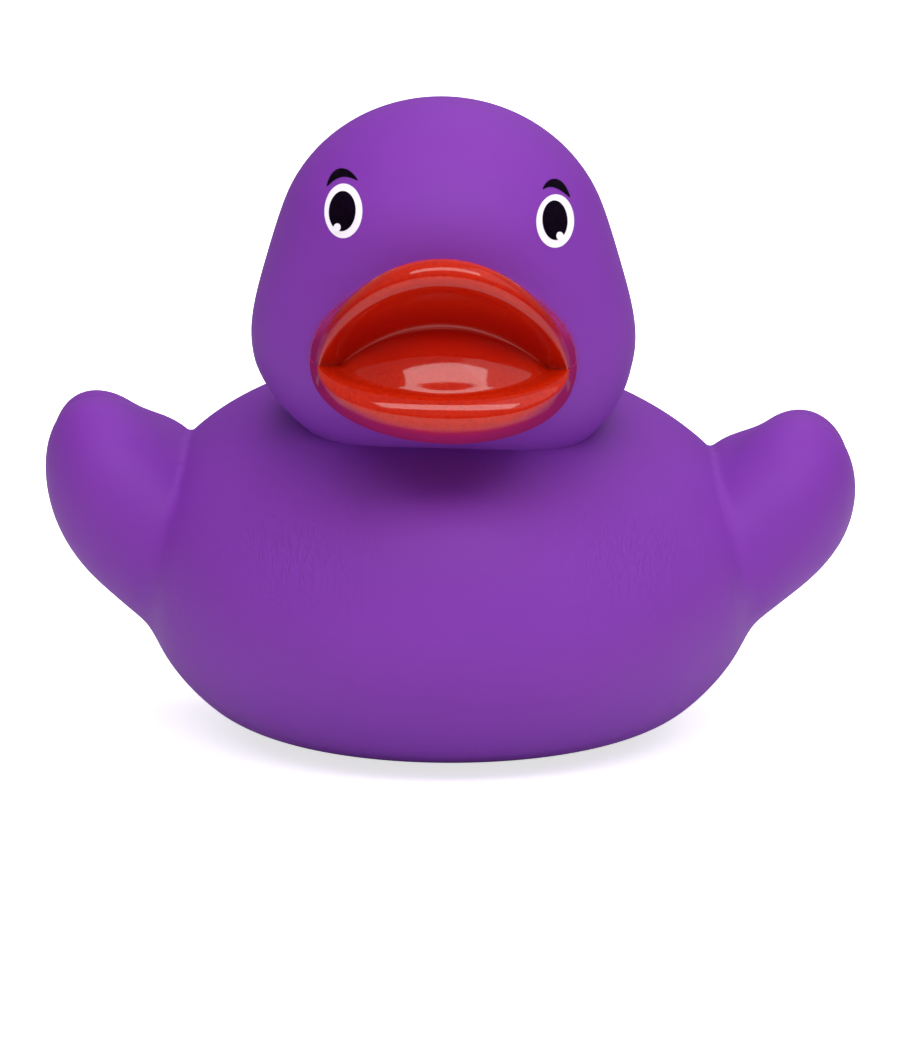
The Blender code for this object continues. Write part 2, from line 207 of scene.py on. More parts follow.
def beakPaint():
    # Sprayed solvent paint on the beak: a thick high gloss film, thin and see-through where the gun faced it least
    look = paintLook
    material, tree, shader = startMaterial("sprayedGlossPaint")
    place = addNode(tree, "ShaderNodeTexCoord")
    drops = addNode(tree, "ShaderNodeTexNoise", {"Scale": 1 / look["dropletSize"], "Detail": 2.0, "Roughness": 0.7},
                    {"Vector": place.outputs["Object"]})
    tone = addNode(tree, "ShaderNodeValToRGB", {}, {"Fac": drops.outputs["Fac"]})
    for stop, position, colour in zip(tone.color_ramp.elements, look["toneEnds"], (look["deepRed"], look["red"])):
        stop.position, stop.color = position, linearColour(colour)
    # painted shade: the mask below darkens the red in the back of the mouth and on faces that look down
    paintedShade = addNode(tree, "ShaderNodeAttribute", {"attribute_name": "paintedShadeMask"})
    shadedRed = addNode(tree, "ShaderNodeMix", {"data_type": "RGBA", "B": linearColour(look["paintedShadeRed"])},
                    {"Factor": paintedShade.outputs["Fac"], "A": tone.outputs["Color"]})
    spray = addNode(tree, "ShaderNodeAttribute", {"attribute_name": "sprayCover"})
    film = addNode(tree, "ShaderNodeMix", {"data_type": "RGBA", "A": linearColour(look["thin"])},
                   {"Factor": spray.outputs["Fac"], "B": shadedRed.outputs["Result"]})
    gloss = addNode(tree, "ShaderNodeMapRange", {"To Min": look["thinGloss"], "To Max": 1.0},
                    {"Value": spray.outputs["Fac"]})
    ripple = addNode(tree, "ShaderNodeBump", {"Strength": 0.12, "Distance": look["dropletHeight"]},
                     {"Height": drops.outputs["Fac"]})
    setUp(tree, shader,
          {"Roughness": look["roughness"], "Coat Roughness": look["coatRoughness"], "Coat IOR": look["coatIor"],
           "Specular IOR Level": 0.0},
          {"Base Color": film.outputs["Result"], "Coat Weight": gloss.outputs["Result"],
           "Normal": ripple.outputs["Normal"], "Coat Normal": ripple.outputs["Normal"]})
    return material


inkLook = {
    "white": "#f5eef9",
    "black": "#050208",
    "showsThrough": 0.02,       # how much of the vinyl's colour comes through where the pad left least ink
    "gloss": 0.03,
    "roughness": 0.32,
    "blotSize": 0.6 * mm,
}


def padInk(name, hexText):
    # Pad printed ink: a film a few hundredths of a millimetre thick, smoother than the vinyl under it
    look = inkLook
    material, tree, shader = startMaterial(name)
    place = addNode(tree, "ShaderNodeTexCoord")
    blot = addNode(tree, "ShaderNodeTexNoise", {"Scale": 1 / look["blotSize"], "Detail": 2.0},
                   {"Vector": place.outputs["Object"]})
    weight = addNode(tree, "ShaderNodeMapRange", {"From Min": 0.3, "From Max": 0.7, "To Max": look["showsThrough"]},
                     {"Value": blot.outputs["Fac"]})
    tone = addNode(tree, "ShaderNodeMix",
                   {"data_type": "RGBA", "A": linearColour(hexText), "B": linearColour(vinylLook["base"])},
                   {"Factor": weight.outputs["Result"]})
    matt = addNode(tree, "ShaderNodeMapRange", {"To Min": look["roughness"], "To Max": look["roughness"] + 0.1},
                   {"Value": blot.outputs["Fac"]})
    setUp(tree, shader, {"Specular IOR Level": look["gloss"]},
          {"Base Color": tone.outputs["Result"], "Roughness": matt.outputs["Result"]})
    return material


plugLook = {
    "waxy": "#e2e0d8",
    "flowMark": "#d8d5ca",
    "ringStep": 2.2 * mm,       # a wave texture draws its rings 2 pi of these apart
    "smoothest": 0.34,
    "roughest": 0.44,
}


def plugPlastic():
    # Injection moulded polyethylene: waxy off-white with faint flow marks round the gate
    look = plugLook
    material, tree, shader = startMaterial("mouldedPolyethylene")
    place = addNode(tree, "ShaderNodeTexCoord")
    centre = addNode(tree, "ShaderNodeMapping", {"Location": tuple(-axisPlace)}, {"Vector": place.outputs["Object"]})
    flow = addNode(tree, "ShaderNodeTexWave",
                   {"wave_type": "RINGS", "rings_direction": "Z", "Scale": 1 / look["ringStep"] / 20,
                    "Distortion": 3.0, "Detail": 2.0},
                   {"Vector": centre.outputs["Vector"]})
    tone = addNode(tree, "ShaderNodeMix",
                   {"data_type": "RGBA", "A": linearColour(look["waxy"]), "B": linearColour(look["flowMark"])},
                   {"Factor": flow.outputs["Fac"]})
    matt = addNode(tree, "ShaderNodeMapRange", {"To Min": look["smoothest"], "To Max": look["roughest"]},
                   {"Value": flow.outputs["Fac"]})
    setUp(tree, shader, {}, {"Base Color": tone.outputs["Result"], "Roughness": matt.outputs["Result"]})
    return material


vinyl, paint = softVinyl(), beakPaint()
whiteInk, blackInk = padInk("whitePadInk", inkLook["white"]), padInk("blackPadInk", inkLook["black"])
polyethylene = plugPlastic()

print("duck form")

# Lobes in mm: middle, half sizes and, where turned, the degrees outwards, up and over of a length that points back
bodyShape = {
    "hull": ((0, 3.9, 17.08), (33.29, 36.72, 21.5)),
    "shoulders": ((0, 7.0, 20.24), (32.75, 27.0, 20.14)),
    "breast": ((0, -5.0, 22.0), (20.0, 26.0, 16.5)),
    "tail": ((0, 34.5, 23.0), (17.0, 12.0, 5.5), (0, 36, 0)),
    "skull": ((0, -8.96, 53.72), (17.69, 17.5, 16.47)),
    "cheeks": ((0, -8.96, 45.2), (20.24, 16.5, 15.35)),
    "wingTip": ((36.95, 3.94, 26.53), (9.5, 6.46, 8.88), (14, 8, 10.0)),
    "wingMiddle": ((31.48, 2.97, 22.47), (11.0, 6.04, 7.64), (14, 8, 10.0)),
    "wingRoot": ((29.61, 2.47, 16.3), (10.5, 4.28, 7.6), (14, 8, 30.2)),
    "longFeather": ((36.37, 12.0, 25.18), (17.0, 6.5, 8.7), (14, 8, 10.0)),
    "trailingFeather": ((34.5, 18.0, 19.7), (11.8, 5.44, 6.39), (14, 8, 10.0)),
    "shoulderFeather": ((30.91, 8.93, 23.97), (15.0, 6.39, 8.26), (14, 8, 16.0)),
    "baseRounding": 4.0, "flatBelow": 0.05,
    # the right side's sink, and the head's, as shares of the way across, and where they set in
    "lean": 0.031, "headLean": 0.014, "headShift": 0.75, "leanStarts": 10.0, "leanEnds": 32.0,
    "voxel": 0.62,
    # how far each pass eases the skin's points before they are drawn back onto the form
    "easing": (0.0, 0.6, 0.6, 0.5, 0.5, 0.4, 0.3, 0.0, 0.0),
}
# Each form's lobes, with the reach of the fillet that joins a lobe to those before it. The forms meet in creases
forms = {
    "body": (("hull", 0), ("shoulders", 4.0), ("breast", 3.0), ("tail", 7.0)),
    "wings": (("wingTip", 0), ("wingMiddle", 6.0), ("wingRoot", 6.0), ("longFeather", 3.0), ("trailingFeather", 2.0),
              ("shoulderFeather", 1.6)),
    "head": (("skull", 0), ("cheeks", 4.0)),
}


def lobe(name):
    # middle, half sizes and axes
    centre, radii, *turn = bodyShape[name]
    centre, radii = np.array(centre) * mm, np.array(radii) * mm
    if not turn:
        return centre, radii, np.eye(3)
    outwards, up, over = (math.radians(v) for v in turn[0])
    length = Vector((math.sin(outwards) * math.cos(up), math.cos(outwards) * math.cos(up), math.sin(up)))
    upright = (Vector((0, 0, 1)) - length * length.z).normalized()
    upright.rotate(Matrix.Rotation(over, 3, length))
    return centre, radii, np.array((length, length.cross(upright), upright)).T


def distanceTo(points, name):
    # distance to a lobe's skin, near enough close to it, and the direction away from it
    centre, radii, axes = lobe(name)
    scaled = (points - centre) @ axes / radii
    size = np.maximum(np.linalg.norm(scaled, axis=1), 1e-6)
    slope = scaled / radii
    steepness = np.maximum(np.linalg.norm(slope, axis=1), 1e-6)
    return size * (size - 1) / steepness, slope / steepness[:, None] @ axes.T


def joined(first, second, reach):
    # two distances with their directions, joined by a fillet
    reach = reach * mm
    share = np.clip(0.5 + 0.5 * (second[0] - first[0]) / reach, 0, 1)
    distance = first[0] * share + second[0] * (1 - share) - reach * share * (1 - share)
    return distance, first[1] * share[:, None] + second[1] * (1 - share)[:, None]


def distanceToForm(points, lobes):
    # distance to the skin of one of the forms, and the direction away from it
    side = np.where(points[:, 0] < 0, -1.0, 1.0)
    near = points * np.stack([side, np.ones_like(side), np.ones_like(side)], axis=1)
    distance, direction = distanceTo(near, lobes[0][0])
    for name, reach in lobes[1:]:
        distance, direction = joined((distance, direction), distanceTo(near, name), reach)
    direction = direction.copy()
    direction[:, 0] *= side
    upwards = np.tile([0.0, 0.0, 1.0], (len(points), 1))
    distance, direction = joined((-distance, -direction), (points[:, 2], upwards), bodyShape["baseRounding"])
    return -distance, -direction


def settled(points):
    # the moulding has settled a little: its right side lies lower, and its head stands off the centre line
    shape = bodyShape
    rise = (points[:, 2] / mm - shape["leanStarts"]) / (shape["leanEnds"] - shape["leanStarts"])
    rise = smoothStep(np.clip(rise, 0, 1))
    top = np.clip((points[:, 2] / mm - shape["leanEnds"]) / shape["leanStarts"], 0, 1)
    moved = points.copy()
    moved[:, 2] -= (shape["lean"] + (shape["headLean"] - shape["lean"]) * top) * points[:, 0] * rise
    moved[:, 0] -= shape["headShift"] * mm * top
    return moved + np.array(axisPlace)


def formSkin(title, lobes):
    # the lobes as balls are made one skin, whose points are then drawn onto the form
    shape = bmesh.new()
    for name, _ in lobes:
        centre, radii, axes = lobe(name)
        place = Matrix.Translation(centre) @ Matrix(axes).to_4x4() @ Matrix.Diagonal((*radii, 1))
        for side in (1, -1) if centre[0] else (1,):
            bmesh.ops.create_icosphere(shape, subdivisions=5, radius=1,
                                       matrix=Matrix.Diagonal((side, 1, 1, 1)) @ place)
    bmesh.ops.recalc_face_normals(shape, faces=shape.faces)
    item = newObject(title, meshFrom(shape, title), vinyl, paint)
    remesh = item.modifiers.new("oneSkin", "REMESH")
    remesh.mode = "VOXEL"
    remesh.voxel_size = bodyShape["voxel"] * mm
    mesh = finished(item)
    points = pointsOf(mesh)
    for share in bodyShape["easing"]:
        points += (neighbourMeans(mesh, points) - points) * share
        distance, direction = distanceToForm(points, lobes)
        length = np.maximum(np.linalg.norm(direction, axis=1), 0.5)
        points -= (distance / length ** 2)[:, None] * direction
    points[:, 2] = np.where(points[:, 2] < bodyShape["flatBelow"] * mm, 0, points[:, 2])
    placePoints(mesh, settled(points))
    return item


def distanceFrom(points, places):
    tree = KDTree(len(places))
    for index, place in enumerate(places):
        tree.insert(place, index)
    tree.balance()
    return np.array([tree.find(p)[2] for p in points])


def relax(mesh, share, passes):
    # points move towards their neighbours, by their share
    points = pointsOf(mesh)
    for _ in range(passes):
        points += (neighbourMeans(mesh, points) - points) * share[:, None]
    placePoints(mesh, points)


def pointsAlong(shape, test):
    # the points of the edges that pass a test, each once and in the same order every time
    return list(dict.fromkeys(v for edge in shape.edges if test(edge) for v in edge.verts))


# Widths in mm of the moulded fillets between wings and body, which grow towards the foot of the wings
foldShape = {"top": 0.25, "foot": 4.5, "growsFrom": 28.0, "growsTo": 17.0, "wingStarts": 22.5,
             "passes": 40, "angle": 25, "merge": 0.14}


def isFold(edge):
    return edge.is_manifold and edge.calc_face_angle() > math.radians(foldShape["angle"])


def softenFolds(mesh):
    f = foldShape
    shape = bmesh.new()
    shape.from_mesh(mesh)
    bmesh.ops.remove_doubles(shape, verts=pointsAlong(shape, isFold), dist=f["merge"] * mm)
    folds = [v.co.copy() for v in pointsAlong(shape, isFold) if abs(v.co.x - axisPlace.x) > f["wingStarts"] * mm]
    shape.to_mesh(mesh)
    shape.free()
    points = pointsOf(mesh)
    low = np.clip((f["growsFrom"] - points[:, 2] / mm) / (f["growsFrom"] - f["growsTo"]), 0, 1)
    width = (f["top"] + (f["foot"] - f["top"]) * low) * mm
    relax(mesh, 0.5 * np.clip(1 - distanceFrom(points, folds) / width, 0, 1), f["passes"])


def duckSkin():
    item = formSkin("body", forms["body"])
    combine(item, formSkin("wings", forms["wings"]), "UNION")
    combine(item, formSkin("head", forms["head"]), "UNION")
    softenFolds(item.data)
    return item


print("beak")

beakShape = {
    "face": 25.46, "buried": 8.5, "reach": 11.64, "cornerUp": 44.5,
    "rootHalf": 13.9, "rollHalf": 13.2, "lipHalf": 12.6, "mouthHalf": 10.8,
    "top": 12.3, "lipRadius": 1.8, "crease": 4.3, "palateDepth": 7.0, "lowerLip": -1.8, "drop": -8.3,
    "sections": 44, "levels": 2, "cornerLine": 20,
}


def beakProfile():
    # The points round the middle section: how far forward, up from the corner of the mouth, half width, how far
    # forward that line is at the corner, and how round it runs between the two
    b = beakShape
    face, tip, inside = b["face"], b["face"] + b["reach"], b["face"] - b["buried"]
    root, roll, lip, mouth = b["rootHalf"], b["rollHalf"], b["lipHalf"], b["mouthHalf"]
    top, radius, low, drop = b["top"], b["lipRadius"], b["lowerLip"], b["drop"]
    middle, back, crease = top - radius, tip - b["palateDepth"], b["crease"]
    return (
        (inside, top - 5.2, root - 1.5, inside, 1.67),
        (face - 1.5, top - 3.2, root, face - 5.0, 1.82),
        (face + 4.0, top - 2.2, root - 0.3, face - 2.5, 1.74),
        (tip - 4.4, middle + 0.72 * radius, roll + 0.1, face + 0.3, 1.64),
        (tip - 2.6, top, roll - 0.1, face + 1.6, 1.6),
        (tip - 1.25, middle + 0.7 * radius, lip + 0.2, face + 2.6, 1.6),
        (tip - 0.8, middle, lip, face + 2.8, 1.53),
        (tip - 1.2, middle - 0.62 * radius, lip - 0.2, face + 2.6, 1.46),
        (tip - 2.5, middle - 1.05 * radius, mouth + 0.6, face + 2.4, 1.4),
        (tip - 5, crease + 2.6, mouth + 0.2, face + 2.3, 1.25),
        (back, crease + 0.6, mouth - 0.2, face + 2.2, 1.1),
        (back, crease, mouth - 0.2, face + 2.2, 1.08),
        (back + 0.6, crease - 0.4, mouth - 0.2, face + 2.2, 1.08),
        (back + 1.7, crease - 1.3, mouth - 0.2, face + 2.2, 1.12),
        (back + 3.1, crease - 2.9, mouth - 0.1, face + 2.2, 1.16),
        (back + 4.1, crease - 4.6, mouth - 0.1, face + 2.3, 1.2),
        (tip - 2.5, low + 0.4, mouth, face + 2.3, 1.25),
        (tip - 2.2, low - 0.15, mouth + 0.2, face + 2.4, 1.27),
        (tip - 1.5, low + 0.05, lip - 0.7, face + 2.6, 1.45),
        (tip - 0.65, low - 0.5, lip - 0.2, face + 2.7, 1.67),
        (tip - 0.1, low - 1.55, lip + 0.1, face + 2.8, 1.92),
        (tip, low - 2.45, lip + 0.3, face + 2.6, 2.1),
        (tip - 0.4, low - 3.4, roll - 0.2, face + 1.6, 2.2),
        (tip - 1.8, low - 4.5, roll + 0.2, face - 0.8, 2.4),
        (face + 6, drop + 0.9, root - 0.1, face - 3.2, 2.4),
        (face + 1, drop, root, face - 5.0, 2.4),
        (inside, drop + 2.4, root - 1.5, inside, 2),
    )


def beakSolid():
    # a sphere with its poles at the corners of the mouth, whose sections are the beak's profile
    b = beakShape
    profile = beakProfile()
    around = len(profile)
    shape = bmesh.new()
    bmesh.ops.create_uvsphere(shape, u_segments=around, v_segments=b["sections"], radius=1)
    for vertex in shape.verts:
        turn = math.atan2(vertex.co.y, vertex.co.x) / (2 * math.pi)
        atPole = Vector(vertex.co.xy).length < 1e-4
        line = b["cornerLine"] if atPole else round(turn * around) % around
        forward, up, half, corner, roundness = profile[line]
        across = math.sin(math.pi / 2 * max(-1.0, min(1.0, vertex.co.z)))     # sections stand closer near the corners
        fullness = (1 - across ** 2) ** (1 / roundness)
        place = Vector((across * half, -(corner + (forward - corner) * fullness), b["cornerUp"] + up * fullness))
        vertex.co = place * mm
    for face in shape.faces:
        face.material_index = 1
    bmesh.ops.recalc_face_normals(shape, faces=shape.faces)
    item = newObject("beakSolid", meshFrom(shape, "beakSolid"), vinyl, paint)
    rounded = item.modifiers.new("rounded", "SUBSURF")
    rounded.levels = rounded.render_levels = b["levels"]
    mesh = finished(item)
    placePoints(mesh, settled(pointsOf(mesh)))
    return item


def combine(item, other, operation):
    change = item.modifiers.new(operation.lower(), "BOOLEAN")
    change.object, change.operation, change.solver = other, operation, "EXACT"
    finished(item)
    bpy.data.objects.remove(other, do_unlink=True)


ventShape = {
    "seat": 7.1, "seatHeight": 1.4, "bore": 4.5, "wall": 2.6, "chamber": 6.4, "shoulder": 0.4, "depth": 7.5,
    "below": 1.0, "steps": 96,
}


def turnedSolid(name, outline, steps, *materials):
    # outline points are radius and height in mm, up the outside
    shape = bmesh.new()
    corners = [shape.verts.new((radius * mm, 0, height * mm)) for radius, height in outline]
    edges = [shape.edges.new(pair) for pair in zip(corners, corners[1:] + corners[:1])]
    bmesh.ops.spin(shape, geom=corners + edges, cent=(0, 0, 0), axis=(0, 0, 1), angle=2 * math.pi, steps=steps,
                   use_merge=True)
    bmesh.ops.remove_doubles(shape, verts=shape.verts, dist=0.005 * mm)     # the points on the axis
    bmesh.ops.recalc_face_normals(shape, faces=shape.faces)
    bmesh.ops.translate(shape, verts=shape.verts, vec=axisPlace)
    return newObject(name, meshFrom(shape, name), *materials)


def ventCutter():
    v = ventShape
    seat, bore, chamber, wall, foot = v["seat"], v["bore"], v["chamber"], v["wall"], -v["below"]
    outline = ((0, foot), (seat, foot), (seat, v["seatHeight"]), (bore, v["seatHeight"]), (bore, wall),
               (chamber, wall + v["shoulder"]), (chamber, v["depth"]), (0, v["depth"]))
    return turnedSolid("ventCutter", outline, v["steps"], vinyl, paint)


seamLook = {"width": 0.9 * mm, "passes": 10, "merge": 0.12 * mm, "edgeWidth": 0.4 * mm, "overspray": 0.12 * mm}


def isSeam(edge):
    return len({face.material_index for face in edge.link_faces}) > 1


def softenSeam(mesh):
    # a moulded fillet where the beak leaves the head, and how far each point is from it
    shape = bmesh.new()
    shape.from_mesh(mesh)
    bmesh.ops.remove_doubles(shape, verts=pointsAlong(shape, isSeam), dist=seamLook["merge"])
    seam = [v.co.copy() for v in pointsAlong(shape, isSeam)]
    shape.to_mesh(mesh)
    shape.free()
    away = distanceFrom(pointsOf(mesh), seam)
    relax(mesh, 0.5 * np.clip(1 - away / seamLook["width"], 0, 1), seamLook["passes"])
    return away


def setAttribute(mesh, name, values):
    attribute = mesh.attributes.new(name, "FLOAT", "POINT")
    attribute.data.foreach_set("value", values.astype(np.float32))


sprayLook = {
    # the gun stood in front of the beak. How well it reached faces that look up, and those of the palate
    "fromAbove": 1.4, "fromBelow": 0.7, "palateFrom": 41.0, "palateFade": 2.0,
    # how squarely a face met the spray where paint starts, and where it is full
    "bare": 0.46, "full": 0.9,
    "edgeCover": 0.95, "mist": 0.4, "blends": 2,
    # where the painted shade in the mouth starts and ends, in mm behind the tip of the beak, and heights in mm
    "shadeStarts": 1.4, "shadeEnds": 6.0, "mouthFrom": 43.5, "mouthFade": 3.0, "mouthTo": 55.0, "sideFade": 2.0,
    # painted shade on faces that look down in the mouth: how strong, its most, and the height it starts from
    "paintedUnderShade": 1.1, "paintedUnderShadeMost": 0.6, "paintedUnderShadeFrom": 44.5,
}


def sprayCover(mesh, points, normals, painted, away):
    # how much paint lies on each point, and how much mist beside the beak
    look = sprayLook
    onPalate = np.clip((points[:, 2] - look["palateFrom"]) / look["palateFade"], 0, 1)
    facing = look["fromAbove"] * np.maximum(normals[:, 2], 0) - normals[:, 1]
    facing += look["fromBelow"] * np.maximum(-normals[:, 2], 0) * onPalate
    cover = smoothStep(np.clip((facing - look["bare"]) / (look["full"] - look["bare"]), 0, 1))
    edge = np.exp(-(away / seamLook["edgeWidth"]) ** 2) * look["edgeCover"]     # thick again where the film ends
    cover = np.where(painted, np.maximum(cover, edge), np.exp(-away / seamLook["overspray"]) * look["mist"])
    for _ in range(look["blends"]):
        cover = 0.5 * cover + 0.5 * neighbourMeans(mesh, cover[:, None])[:, 0]
    return cover


def paintedShadeMask(points, normals):
    # painted shade: where the red is drawn darker, in the back of the mouth, and on faces that look down under what
    # hangs over
    look = sprayLook
    behind = beakShape["face"] + beakShape["reach"] + points[:, 1]
    depth = np.clip((behind - look["shadeStarts"]) / (look["shadeEnds"] - look["shadeStarts"]), 0, 1)
    aside = np.abs(points[:, 0] + bodyShape["headShift"])
    inMouth = np.clip((points[:, 2] - look["mouthFrom"]) / look["mouthFade"], 0, 1)
    inMouth *= np.clip((beakShape["lipHalf"] - aside) / look["sideFade"], 0, 1)
    paintedShade = depth * inMouth * (normals[:, 1] < 0) * (points[:, 2] < look["mouthTo"])
    # painted shade on faces in the mouth that look down
    paintedUnderShade = np.clip(-look["paintedUnderShade"] * normals[:, 2], 0, look["paintedUnderShadeMost"]) * (points[:, 2] > look["paintedUnderShadeFrom"])
    return np.maximum(paintedShade, paintedUnderShade)


strokePatches = {"places": ((-16.5, 24.5), (19.5, 24.0)), "spread": (6.0, 4.5)}      # across and up in mm


def strokeField(points):
    # where the feather strokes show, on both sides of the breast
    wide, high = strokePatches["spread"]
    field = np.zeros(len(points))
    for x, z in strokePatches["places"]:
        apart = ((points[:, 0] - x) / wide) ** 2 + ((points[:, 2] - z) / high) ** 2
        field = np.maximum(field, np.exp(-apart) * (points[:, 1] < 0))
    return field


def paintMasks(mesh, away):
    # the attributes that vinyl and paint read
    points = (pointsOf(mesh) - np.array(axisPlace)) / mm
    normals = np.empty(len(mesh.vertices) * 3)
    mesh.vertices.foreach_get("normal", normals)
    normals = normals.reshape(-1, 3)
    painted = np.zeros(len(points), bool)
    painted[[v for face in mesh.polygons if face.material_index == 1 for v in face.vertices]] = True
    setAttribute(mesh, "sprayCover", sprayCover(mesh, points, normals, painted, away))
    # painted shade in the back of the mouth and under what hangs over
    setAttribute(mesh, "paintedShadeMask", paintedShadeMask(points, normals) * painted)
    setAttribute(mesh, "strokeField", strokeField(points))


skin = duckSkin()
combine(skin, beakSolid(), "UNION")
combine(skin, ventCutter(), "DIFFERENCE")
paintMasks(skin.data, softenSeam(skin.data))
shadeSmooth(skin.data, 50)
skin.name = "duckSkin"
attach(skin, "root")
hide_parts("duck_shell")
print("duck skin", len(skin.data.polygons), "faces")

print("eyes")

eyeShape = {
    # The middle of the white lies across and up in mm, as seen from the front, and the rest is given from it.
    # Ovals: across, up, half width, half height and tilt. Brow: one end, the point that bends it, the other end
    "left": {"middle": (-11.0, 59.79), "white": (0, 0, 1.97, 2.66, -7), "pupil": (-0.1, -0.02, 1.38, 1.97, -9),
             "notch": (-0.62, -1.68, 0.36, 0.46, -30), "brow": ((-1.73, 2.21), (-0.52, 4.56), (1.45, 3.09))},
    "right": {"middle": (10.8, 58.65), "white": (0, 0, 1.97, 2.61, 6), "pupil": (-0.05, 0.1, 1.3, 1.95, 8),
              "notch": (0.45, -1.5, 0.36, 0.46, 30), "brow": ((-1.28, 3.25), (0.07, 4.52), (1.55, 2.13))},
    "browHalf": 0.4, "rings": 5, "segments": 56, "inkStep": 0.03, "inkFoot": 0.12,
}


def printed(name, shape, proud, material, surface):
    # lays a flat outline on the head as a thin film of ink, with its foot under the skin
    for vertex in shape.verts:
        start = vertex.co + Vector((0, -80 * mm, 0))     # in front of the duck
        place, normal, *_ = surface.ray_cast(start, Vector((0, 1, 0)))
        vertex.co = place + normal * proud * mm
    raised = bmesh.ops.extrude_face_region(shape, geom=shape.faces[:], use_keep_orig=True)["geom"]
    for vertex in [v for v in shape.verts if v not in raised]:
        vertex.co.y += (proud + eyeShape["inkFoot"]) * mm
    bmesh.ops.recalc_face_normals(shape, faces=shape.faces)
    item = newObject(name, meshFrom(shape, name), material)
    shadeSmooth(item.data, 40)
    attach(item, "root")


def ovalOutline(middle, across, up, halfWidth, halfHeight, tilt):
    shape = bmesh.new()
    bmesh.ops.create_circle(shape, cap_ends=True, segments=eyeShape["segments"], radius=1)
    face = shape.faces[:][0]
    for _ in range(eyeShape["rings"]):
        bmesh.ops.inset_region(shape, faces=[face], use_boundary=True, thickness=1 / (eyeShape["rings"] + 1), depth=0)
    bmesh.ops.poke(shape, faces=[face])
    turn = Matrix.Rotation(math.radians(tilt), 2)
    for vertex in shape.verts:
        place = turn @ Vector((vertex.co.x * halfWidth, vertex.co.y * halfHeight))
        vertex.co = Vector((middle[0] + across + place.x, 0, middle[1] + up + place.y)) * mm
    return shape


def browOutline(middle, ends):
    # a brush stroke on a bent line, thick in its middle and pointed at both ends
    shape = bmesh.new()
    bmesh.ops.create_grid(shape, x_segments=24, y_segments=4, size=0.5)
    first, pull, last = (Vector(end) for end in ends)
    for vertex in shape.verts:
        along, aside = vertex.co.x + 0.5, vertex.co.y * 2
        place = first * (1 - along) ** 2 + pull * 2 * along * (1 - along) + last * along ** 2
        run = (pull - first) * (1 - along) + (last - pull) * along
        half = eyeShape["browHalf"] * math.sin(math.pi * (0.02 + 0.96 * along)) ** 0.8
        place += Vector((-run.y, run.x)).normalized() * aside * half
        vertex.co = Vector((middle[0] + place.x, 0, middle[1] + place.y)) * mm
    return shape


def printEyes():
    surface = BVHTree.FromObject(skin, bpy.context.evaluated_depsgraph_get())
    step = eyeShape["inkStep"]
    for side in ("left", "right"):
        eye = eyeShape[side]
        printed(side + "EyeWhite", ovalOutline(eye["middle"], *eye["white"]), step, whiteInk, surface)
        printed(side + "EyePupil", ovalOutline(eye["middle"], *eye["pupil"]), 2 * step, blackInk, surface)
        printed(side + "EyeNotch", ovalOutline(eye["middle"], *eye["notch"]), 3 * step, whiteInk, surface)
        printed(side + "Brow", browOutline(eye["middle"], eye["brow"]), step, blackInk, surface)


printEyes()

print("squeaker")

plugShape = {
    "gap": 0.3, "flange": 6.8, "flangeHeight": 0.8, "body": 4.2, "wall": 2.6, "overhang": 0.8, "barb": 3.0,
    "airHole": 0.9, "recess": 2.6, "recessDepth": 0.15, "steps": 96,
}


def squeakerPlug():
    p = plugShape
    hole, recess, flange, body = p["airHole"], p["recess"], p["flange"], p["body"]
    foot, top, barb = p["gap"], p["gap"] + p["flangeHeight"], p["wall"] + p["gap"]
    sunk, lip, tip = foot + p["recessDepth"], body + p["overhang"], barb + p["barb"]
    outline = (
        (hole, sunk + 0.2), (hole + 0.35, sunk), (recess, sunk), (recess + 0.2, foot),
        (flange - 0.25, foot), (flange, foot + 0.25), (flange, top - 0.1), (flange - 0.1, top),
        (body, top), (body, barb), (lip, barb), (lip - 0.1, barb + 0.3), (body - p["overhang"], tip), (hole, tip),
    )
    item = turnedSolid("squeakerPlug", outline, p["steps"], polyethylene)
    shadeSmooth(item.data, 35)
    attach(item, "root")
    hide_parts("squeaker")


squeakerPlug()

print("camera, floor and light")

cameraView = {
    "distance": 700 * mm, "aimHeight": 35 * mm, "elevation": 9.0, "pixelsPerMm": 9.278,
    "column": 450.35, "row": 407.4, "width": 900, "height": 1055,
}


def addCamera():
    c = cameraView
    data = bpy.data.cameras.new("camera")
    camera = bpy.data.objects.new("camera", data)
    bpy.context.scene.collection.objects.link(camera)
    focal = c["pixelsPerMm"] * c["distance"] / mm       # in pixels
    elevation = math.radians(c["elevation"])
    height = c["aimHeight"] + c["distance"] * math.sin(elevation)
    pitch = elevation + math.atan((c["height"] / 2 - c["row"]) / focal)
    turn = math.atan((c["column"] - c["width"] / 2) / focal)
    camera.location = (0, -c["distance"] * math.cos(elevation), height)
    camera.rotation_euler = (math.pi / 2 - pitch, 0, turn)
    data.sensor_width = 36
    data.lens = focal / c["height"] * data.sensor_width
    data.clip_start, data.clip_end = 0.01, 20
    bpy.context.scene.camera = camera


floorLook = {
    "half": 6.0, "colour": "#fafafa", "near": 0.08, "far": 0.3, "nearGlow": 0.7, "farGlow": 1.0, "reflected": 0.1,
}


